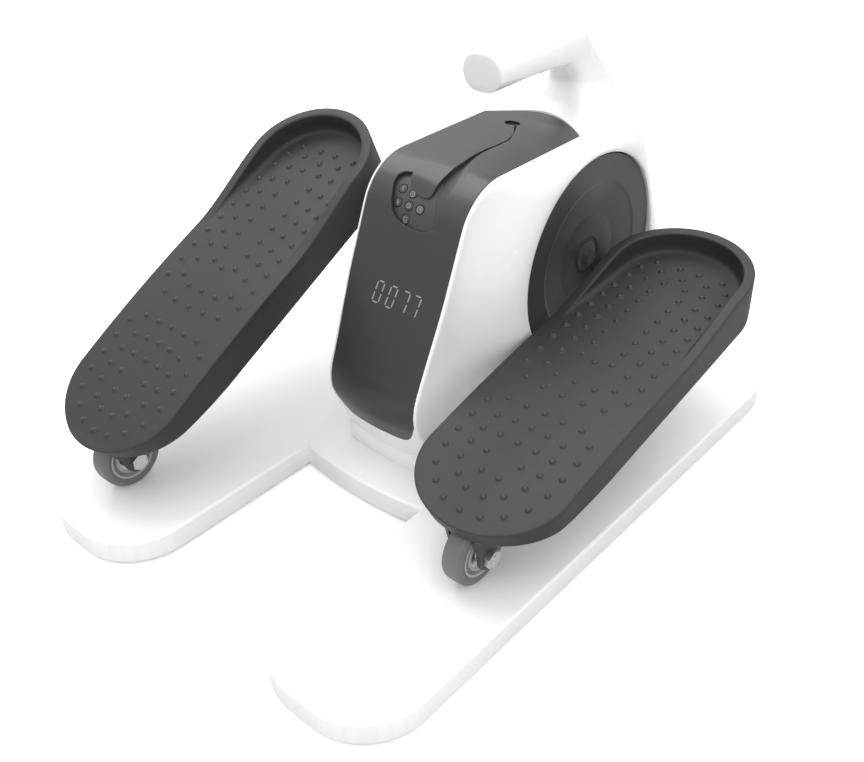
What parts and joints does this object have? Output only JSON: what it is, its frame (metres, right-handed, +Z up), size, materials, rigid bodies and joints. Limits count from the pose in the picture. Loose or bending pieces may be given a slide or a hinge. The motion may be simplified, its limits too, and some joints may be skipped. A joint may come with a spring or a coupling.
{
  "type": "stepper",
  "caption": "Low motor-driven seated stepper: flat U-shaped base, drive housing with display and carrying handle, dotted foot pedals on crank pins and front rollers.",
  "frame": {"origin": "on the floor under the centre of the base plate", "axes": "+Z up, +Y towards the rear of the machine (toe end of the pedals), +X to the machine's right-hand cover as seen from behind the front panel looking at +Y"},
  "size_m": [0.369, 0.509, 0.3058],
  "materials": {
    "white_shell": "smooth white moulded plastic with a soft gloss",
    "white_base": "white moulded plastic, fine satin grain",
    "dark_panel": "glossy dark grey plastic",
    "smoked_window": "smoked glossy window",
    "lit_digits": "light grey lit segments",
    "pedal_plastic": "dark grey matte moulded plastic",
    "tread": "dark grey rubber tread with raised dots",
    "disc_plastic": "glossy charcoal plastic",
    "roller_rubber": "grey rubber tread",
    "roller_hub_grey": "light grey moulded hub",
    "steel_plate": "grey powder-coated sheet steel",
    "bracket_paint": "black powder-coated steel",
    "zinc": "zinc-plated steel",
    "bearing_steel": "ground bearing steel",
    "circuit_board": "green solder mask",
    "black_rubber": "black rubber",
    "black_plastic": "black moulded plastic",
    "key_grey": "grey keypad plastic",
    "motor_steel": "plated motor can"
  },
  "bodies": {
    "root": {"base_plate": "white_base", "base_frame": "steel_plate", "rubber_feet": "black_rubber", "base_bolts": "zinc", "plinth": "white_shell", "left_housing": "white_shell", "right_housing": "white_shell", "handle_end_cap": "white_shell", "front_panel": "dark_panel", "display_window": "smoked_window", "display_board": "circuit_board", "display_segments": "lit_digits", "keypad_plate": "black_plastic", "left_side_plate": "steel_plate", "right_side_plate": "steel_plate", "spacer_bars": "zinc", "shaft_bearings": "bearing_steel", "motor": "motor_steel", "motor_bracket": "steel_plate", "drive_belt": "black_rubber", "control_board": "circuit_board", "speed_sensor": "circuit_board", "power_inlet": "black_plastic", "switch_bezel": "black_plastic", "housing_screws": "zinc"},
    "crank": {"crankshaft": "zinc", "left_crank_disc": "disc_plastic", "right_crank_disc": "disc_plastic", "large_pulley": "black_plastic", "disc_bolts": "zinc", "sensor_magnet": "zinc"},
    "motor_rotor": {"motor_pulley": "zinc"},
    "power_rocker": {"power_switch": "black_plastic"},
    "key_centre": {"button_centre": "key_grey"},
    "key_left": {"button_left": "key_grey"},
    "key_right": {"button_right": "key_grey"},
    "key_down": {"button_down": "key_grey"},
    "key_up": {"button_up": "key_grey"},
    "key_power": {"button_power": "key_grey"},
    "left_axle": {"left_axle_pin": "zinc"},
    "left_wheel": {"left_roller_tyre": "roller_rubber", "left_roller_hub": "roller_hub_grey", "left_wheel_bearing": "bearing_steel"},
    "left_pedal": {"left_pedal_tray": "pedal_plastic", "left_tread_mat": "tread", "left_pedal_bracket": "bracket_paint", "left_bracket_screws": "zinc", "left_crank_pin": "zinc", "left_roller_fork": "bracket_paint"},
    "right_axle": {"right_axle_pin": "zinc"},
    "right_wheel": {"right_roller_tyre": "roller_rubber", "right_roller_hub": "roller_hub_grey", "right_wheel_bearing": "bearing_steel"},
    "right_pedal": {"right_pedal_tray": "pedal_plastic", "right_tread_mat": "tread", "right_pedal_bracket": "bracket_paint", "right_bracket_screws": "zinc", "right_crank_pin": "zinc", "right_roller_fork": "bracket_paint"}
  },
  "joints": [
    {"name": "crank_spin", "type": "hinge", "parent": "root", "child": "crank", "pos_m": [0, 0.1155, 0.148], "axis": [1, 0, 0], "continuous": true},
    {"name": "motor_spin", "type": "hinge", "parent": "root", "child": "motor_rotor", "pos_m": [0, 0.036, 0.094], "axis": [1, 0, 0], "continuous": true},
    {"name": "left_roll", "type": "slide", "parent": "root", "child": "left_axle", "axis": [0, 1, 0], "range_m": [-0.0299, 0.1172]},
    {"name": "left_wheel_spin", "type": "hinge", "parent": "left_axle", "child": "left_wheel", "pos_m": [-0.132, -0.19529, 0.0455], "axis": [1, 0, 0], "continuous": true},
    {"name": "left_pitch", "type": "hinge", "parent": "left_axle", "child": "left_pedal", "pos_m": [-0.132, -0.19529, 0.0455], "axis": [1, 0, 0], "range_deg": [-22.75, 6.33]},
    {"name": "right_roll", "type": "slide", "parent": "root", "child": "right_axle", "axis": [0, 1, 0], "range_m": [-0.1172, 0.0299]},
    {"name": "right_wheel_spin", "type": "hinge", "parent": "right_axle", "child": "right_wheel", "pos_m": [0.132, -0.10798, 0.0455], "axis": [1, 0, 0], "continuous": true},
    {"name": "right_pitch", "type": "hinge", "parent": "right_axle", "child": "right_pedal", "pos_m": [0.132, -0.10798, 0.0455], "axis": [1, 0, 0], "range_deg": [-6.33, 22.75]},
    {"name": "power_rock", "type": "hinge", "parent": "root", "child": "power_rocker", "pos_m": [0.02, 0.241, 0.063], "axis": [1, 0, 0], "range_deg": [-9, 9]},
    {"name": "press_centre", "type": "slide", "parent": "root", "child": "key_centre", "axis": [0, 0.8706, -0.4921], "range_m": [0, 0.0008]},
    {"name": "press_left", "type": "slide", "parent": "root", "child": "key_left", "axis": [0, 0.8706, -0.4921], "range_m": [0, 0.0008]},
    {"name": "press_right", "type": "slide", "parent": "root", "child": "key_right", "axis": [0, 0.8706, -0.4921], "range_m": [0, 0.0008]},
    {"name": "press_down", "type": "slide", "parent": "root", "child": "key_down", "axis": [0, 0.8706, -0.4921], "range_m": [0, 0.0008]},
    {"name": "press_up", "type": "slide", "parent": "root", "child": "key_up", "axis": [0, 0.8706, -0.4921], "range_m": [0, 0.0008]},
    {"name": "press_power", "type": "slide", "parent": "root", "child": "key_power", "axis": [0, 0.8706, -0.4921], "range_m": [0, 0.0008]}
  ],
  "couplings": [
    {"joint": "motor_spin", "follows": "crank_spin", "ratio": 4.2857},
    {"joint": "right_roll", "follows": "left_roll", "ratio": -1},
    {"joint": "right_pitch", "follows": "left_pitch", "ratio": -1},
    {"joint": "left_wheel_spin", "follows": "left_roll", "rad_per_m": -40.323},
    {"joint": "right_wheel_spin", "follows": "left_roll", "rad_per_m": 40.323}
  ]
}
